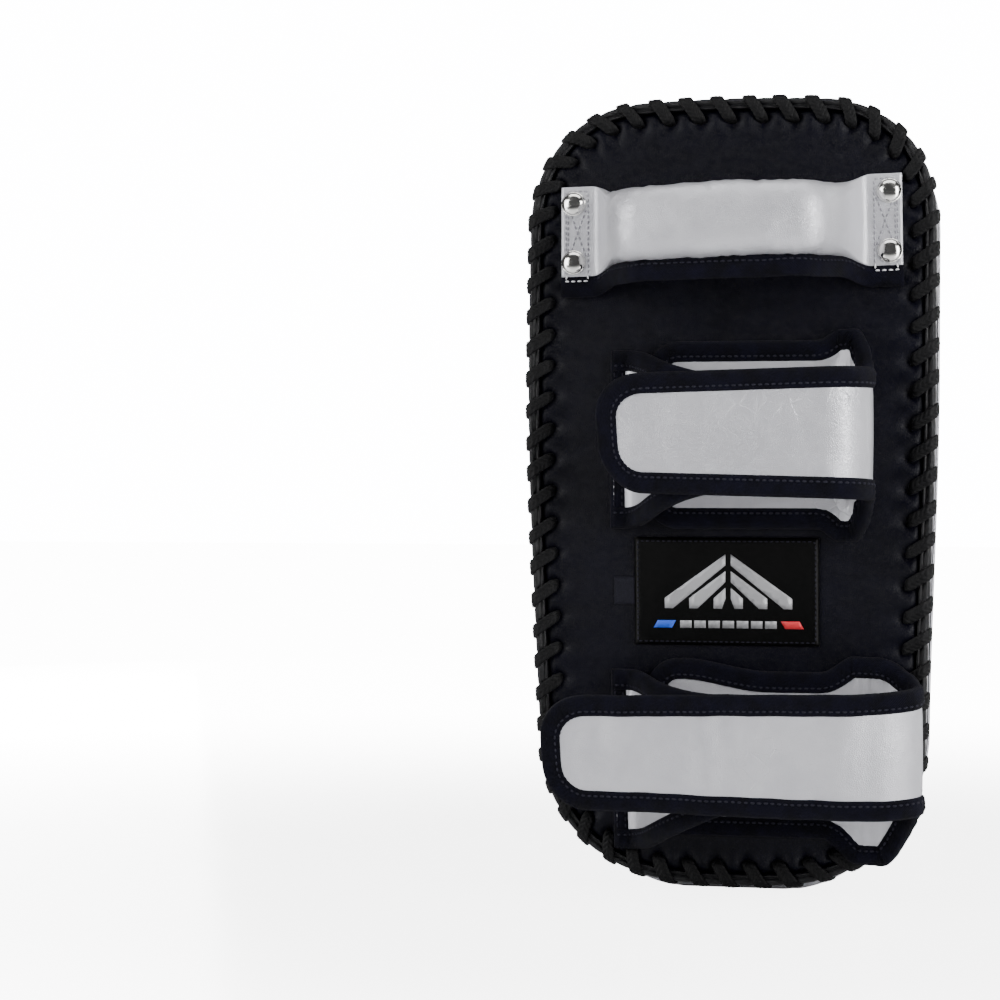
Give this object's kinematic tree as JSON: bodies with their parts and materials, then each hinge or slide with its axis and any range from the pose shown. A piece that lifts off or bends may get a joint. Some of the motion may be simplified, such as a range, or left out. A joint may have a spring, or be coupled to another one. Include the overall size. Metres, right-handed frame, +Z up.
{
  "type": "thai pad",
  "caption": "Curved Thai kick pad for boxing practice: a padded striking face, a laced back, a riveted padded handle and two hook-and-loop forearm cuffs.",
  "frame": {"origin": "centre of the flat at the lower end of the side gusset, on which the pad stands upright", "axes": "+Z up the pad's length, +Y out of the striking face, the handle and cuffs on the -Y side, +X to the viewer's right when looking at the back"},
  "size_m": [0.2028, 0.1435, 0.3908],
  "materials": {
    "black_leather": "satin",
    "silver_leather": "satin",
    "binding_tape": "matte",
    "lace": "matte",
    "foam": "matte",
    "chrome": "polished",
    "patch_fabric": "satin",
    "hook_tape": "matte"
  },
  "bodies": {
    "pad": {"front_panel": "black_leather", "strike_foam": "foam", "core_foam": "foam", "back_foam": "foam", "back_panel": "black_leather", "side_gusset": "silver_leather", "edge_welt": "black_leather", "front_piping": "silver_leather", "lacing_cord": "lace", "rear_patch": "patch_fabric", "size_tag": "binding_tape", "handle_cover": "silver_leather", "handle_foam": "foam", "handle_binding": "binding_tape", "handle_rivet_left_lower": "chrome", "handle_rivet_left_upper": "chrome", "handle_rivet_right_lower": "chrome", "handle_rivet_right_upper": "chrome", "handle_washer_left_lower": "chrome", "handle_washer_left_upper": "chrome", "handle_washer_right_lower": "chrome", "handle_washer_right_upper": "chrome", "upper_base_band": "silver_leather", "upper_base_binding": "binding_tape", "upper_flap_root": "black_leather", "lower_base_band": "silver_leather", "lower_base_binding": "binding_tape", "lower_flap_root": "black_leather"},
    "upper_tail_strap": {"upper_tail": "silver_leather", "upper_tail_binding": "binding_tape", "upper_hook_tape": "hook_tape"},
    "upper_inner_flap": {"upper_flap": "silver_leather", "upper_flap_binding": "binding_tape", "upper_loop_tape": "hook_tape"},
    "lower_tail_strap": {"lower_tail": "silver_leather", "lower_tail_binding": "binding_tape", "lower_hook_tape": "hook_tape"},
    "lower_inner_flap": {"lower_flap": "silver_leather", "lower_flap_binding": "binding_tape", "lower_loop_tape": "hook_tape"}
  },
  "joints": [
    {"name": "upper_tail_peel", "type": "hinge", "parent": "pad", "child": "upper_tail_strap", "pos_m": [0.0715, -0.07786, 0.22457], "axis": [0, 0.0235, 0.9997], "range_deg": [0, 120]},
    {"name": "upper_flap_lift", "type": "hinge", "parent": "pad", "child": "upper_inner_flap", "pos_m": [-0.0502, -0.05837, 0.22411], "axis": [0, 0.0235, 0.9997], "range_deg": [-36, 0]},
    {"name": "lower_tail_peel", "type": "hinge", "parent": "pad", "child": "lower_tail_strap", "pos_m": [0.0945, -0.07146, 0.06747], "axis": [0, -0.1044, 0.9945], "range_deg": [0, 120]},
    {"name": "lower_flap_lift", "type": "hinge", "parent": "pad", "child": "lower_inner_flap", "pos_m": [-0.0502, -0.05207, 0.06951], "axis": [0, -0.1044, 0.9945], "range_deg": [-36, 0]}
  ],
  "couplings": [
    {"joint": "upper_flap_lift", "follows": "upper_tail_peel", "ratio": -0.3},
    {"joint": "lower_flap_lift", "follows": "lower_tail_peel", "ratio": -0.3}
  ]
}
